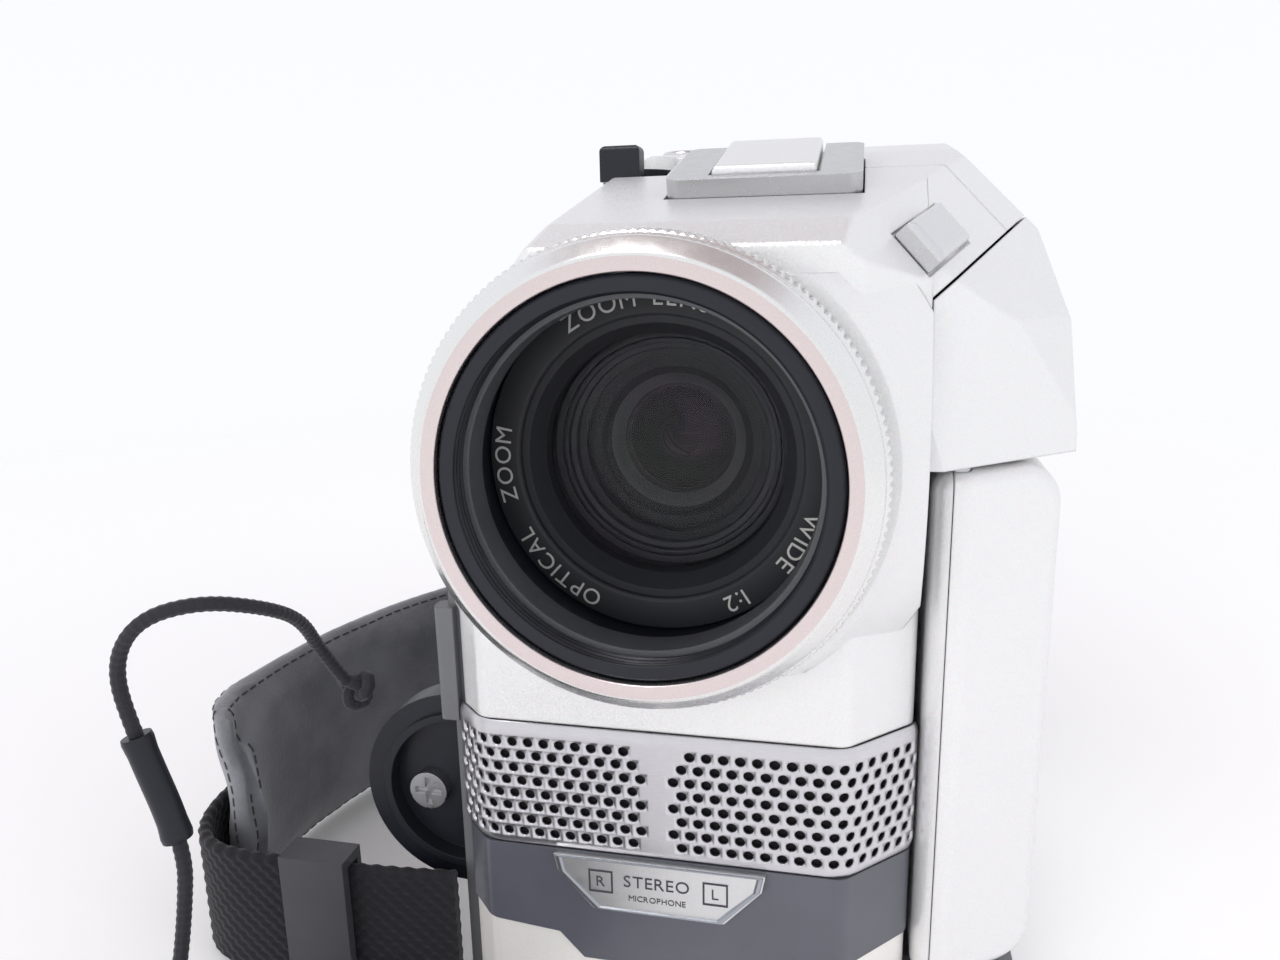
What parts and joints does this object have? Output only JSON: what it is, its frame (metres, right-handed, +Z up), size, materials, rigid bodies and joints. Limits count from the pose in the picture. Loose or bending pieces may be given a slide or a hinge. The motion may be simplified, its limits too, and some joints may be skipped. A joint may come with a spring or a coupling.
{
  "type": "camcorder",
  "caption": "Upright hand-held tape camcorder: ring-collared lens, perforated microphone grille, side-hinged display, slide-out viewfinder, padded hand strap and a lens cap on a cord.",
  "frame": {"origin": "mouth of the tripod socket, in the plane that the feet stand on", "axes": "+Z up, the lens looks along -Y, +X is the side with the display panel"},
  "size_m": [0.1145, 0.1628, 0.1097],
  "materials": {
    "silver_paint": "satin sparkle",
    "ring_metal": "satin, polished bevel",
    "grille_metal": "brushed",
    "band_plastic": "semi-gloss blue-grey",
    "plaque_metal": "satin",
    "warm_silver": "satin",
    "side_grey": "fine grain",
    "base_plastic": "fine grain",
    "black_satin": "satin",
    "black_matte": "matte",
    "lens_glass": "coated",
    "screen_glass": "glossy",
    "battery_plastic": "fine grain",
    "rubber_black": "matte",
    "strap_leather": "pressed grain",
    "strap_fabric": "coarse basket weave",
    "cord_fabric": "braided",
    "steel": "brushed",
    "button_silver": "plated",
    "button_red": "gloss",
    "board_green": "solder mask",
    "tape_shell": "satin",
    "tape_brown": "gloss"
  },
  "bodies": {
    "body": {"accessory_shoe": "steel", "base_tray": "base_plastic", "bracket_screw": "steel", "cassette": "tape_shell", "cord_knot": "cord_fabric", "cord_sleeve": "black_satin", "filter_ring": "black_satin", "front_band": "band_plastic", "front_casing": "silver_paint", "front_glass": "lens_glass", "hand_side_cover": "side_grey", "hinge_pins": "steel", "image_sensor": "board_green", "lens_barrel": "black_matte", "lens_cap": "black_satin", "lens_cap_cord": "cord_fabric", "lower_front_panel": "warm_silver", "main_board": "board_green", "microphone_capsules": "steel", "microphone_grille": "grille_metal", "name_ring": "black_matte", "rear_cover": "side_grey", "right_casing": "silver_paint", "rubber_feet": "rubber_black", "stereo_plaque": "plaque_metal", "strap_bracket": "black_satin", "strap_keeper": "black_satin", "strap_pad": "strap_leather", "strap_webbing": "strap_fabric", "tape_chassis": "steel", "top_cover": "silver_paint", "tripod_socket": "steel"},
    "manual_ring": {"manual_ring": "ring_metal"},
    "zoom_group": {"zoom_group": "black_satin"},
    "focus_group": {"focus_group": "black_satin"},
    "display": {"display_back_shell": "silver_paint", "display_bezel": "silver_paint", "display_screen": "screen_glass"},
    "finder_carriage": {"finder_carriage": "black_satin"},
    "finder": {"finder_housing": "silver_paint", "finder_eyecup": "rubber_black", "finder_glass": "lens_glass"},
    "diopter_lever": {"diopter_lever": "black_satin"},
    "zoom_lever": {"zoom_lever": "black_satin"},
    "photo_button": {"photo_button": "button_silver"},
    "record_button": {"record_button": "button_red"},
    "mode_dial": {"mode_dial": "button_silver"},
    "menu_button": {"menu_button": "button_silver"},
    "shoulder_slider": {"shoulder_slider": "button_silver"},
    "shoe_cover": {"shoe_cover": "silver_paint"},
    "cassette_door": {"cassette_door": "base_plastic"},
    "eject_lever": {"eject_lever": "black_satin"},
    "battery": {"battery_pack": "battery_plastic"},
    "battery_catch": {"battery_catch": "black_satin"},
    "connector_cover": {"connector_cover": "side_grey"},
    "supply_reel": {"supply_reel": "tape_brown"},
    "take_up_reel": {"take_up_reel": "tape_brown"},
    "head_drum": {"head_drum": "steel"},
    "cap_tab_left": {"cap_tab_left": "black_satin"},
    "cap_tab_right": {"cap_tab_right": "black_satin"}
  },
  "joints": [
    {"name": "manual_ring_turn", "type": "hinge", "parent": "body", "child": "manual_ring", "pos_m": [0, 0, 0.072], "axis": [0, 1, 0], "continuous": true},
    {"name": "zoom_travel", "type": "slide", "parent": "body", "child": "zoom_group", "axis": [0, 1, 0], "range_m": [0, 0.008]},
    {"name": "focus_travel", "type": "slide", "parent": "body", "child": "focus_group", "axis": [0, 1, 0], "range_m": [-0.0015, 0.001]},
    {"name": "display_swing", "type": "hinge", "parent": "body", "child": "display", "pos_m": [0.032, -0.0319, 0.04], "axis": [0, 0, -1], "range_deg": [0, 90]},
    {"name": "finder_slide", "type": "slide", "parent": "body", "child": "finder_carriage", "axis": [0, 1, 0], "range_m": [0, 0.016]},
    {"name": "finder_tilt", "type": "hinge", "parent": "finder_carriage", "child": "finder", "pos_m": [0, 0.0385, 0.0957], "axis": [1, 0, 0], "range_deg": [0, 70]},
    {"name": "diopter_turn", "type": "hinge", "parent": "finder", "child": "diopter_lever", "pos_m": [-0.0115, 0.058, 0.0957], "axis": [1, 0, 0], "range_deg": [-35, 35]},
    {"name": "zoom_lever_rock", "type": "hinge", "parent": "body", "child": "zoom_lever", "pos_m": [-0.0105, 0.003, 0.1044], "axis": [0, 0, 1], "range_deg": [-12, 12], "stiffness_Nm_per_rad": 0.02},
    {"name": "photo_press", "type": "slide", "parent": "body", "child": "photo_button", "axis": [0, 0, -1], "range_m": [0, 0.0008], "stiffness_N_per_m": 300},
    {"name": "record_press", "type": "slide", "parent": "body", "child": "record_button", "axis": [0, -1, 0], "range_m": [0, 0.0012], "stiffness_N_per_m": 300},
    {"name": "mode_dial_turn", "type": "hinge", "parent": "body", "child": "mode_dial", "pos_m": [-0.015, 0.054, 0.071], "axis": [0, 1, 0], "range_deg": [-35, 35]},
    {"name": "menu_press", "type": "slide", "parent": "body", "child": "menu_button", "axis": [0, -1, 0], "range_m": [0, 0.0008], "stiffness_N_per_m": 300},
    {"name": "shoulder_slide", "type": "slide", "parent": "body", "child": "shoulder_slider", "axis": [0.3733, 0.8916, 0.2562], "range_m": [0, 0.0032]},
    {"name": "shoe_cover_slide", "type": "slide", "parent": "body", "child": "shoe_cover", "axis": [0, 0.9659, 0.259], "range_m": [0, 0.018]},
    {"name": "cassette_door_swing", "type": "hinge", "parent": "body", "child": "cassette_door", "pos_m": [-0.0222, 0.013, 0.0029], "axis": [0, 1, 0], "range_deg": [0, 80]},
    {"name": "eject_slide", "type": "slide", "parent": "body", "child": "eject_lever", "axis": [1, 0, 0], "range_m": [0, 0.003], "stiffness_N_per_m": 100},
    {"name": "battery_slide", "type": "slide", "parent": "body", "child": "battery", "axis": [0, 0, 1], "range_m": [0, 0.014]},
    {"name": "battery_catch_slide", "type": "slide", "parent": "body", "child": "battery_catch", "axis": [0, 0, -1], "range_m": [0, 0.003], "stiffness_N_per_m": 150},
    {"name": "connector_cover_swing", "type": "hinge", "parent": "body", "child": "connector_cover", "pos_m": [-0.0232, 0.0534, 0.028], "axis": [0, 0, 1], "range_deg": [0, 100]},
    {"name": "supply_reel_spin", "type": "hinge", "parent": "body", "child": "supply_reel", "pos_m": [-0.016, -0.0007, 0.03], "axis": [1, 0, 0], "continuous": true},
    {"name": "take_up_reel_spin", "type": "hinge", "parent": "body", "child": "take_up_reel", "pos_m": [-0.016, 0.0297, 0.03], "axis": [1, 0, 0], "continuous": true},
    {"name": "head_drum_spin", "type": "hinge", "parent": "body", "child": "head_drum", "pos_m": [-0.015, 0.018, 0.0683], "axis": [1, 0, 0], "continuous": true},
    {"name": "cap_tab_left_press", "type": "slide", "parent": "body", "child": "cap_tab_left", "axis": [1, 0, 0], "range_m": [0, 0.0014], "stiffness_N_per_m": 200},
    {"name": "cap_tab_right_press", "type": "slide", "parent": "body", "child": "cap_tab_right", "axis": [-1, 0, 0], "range_m": [0, 0.0014], "stiffness_N_per_m": 200}
  ],
  "couplings": [
    {"joint": "take_up_reel_spin", "follows": "supply_reel_spin", "ratio": 1.2727}
  ]
}
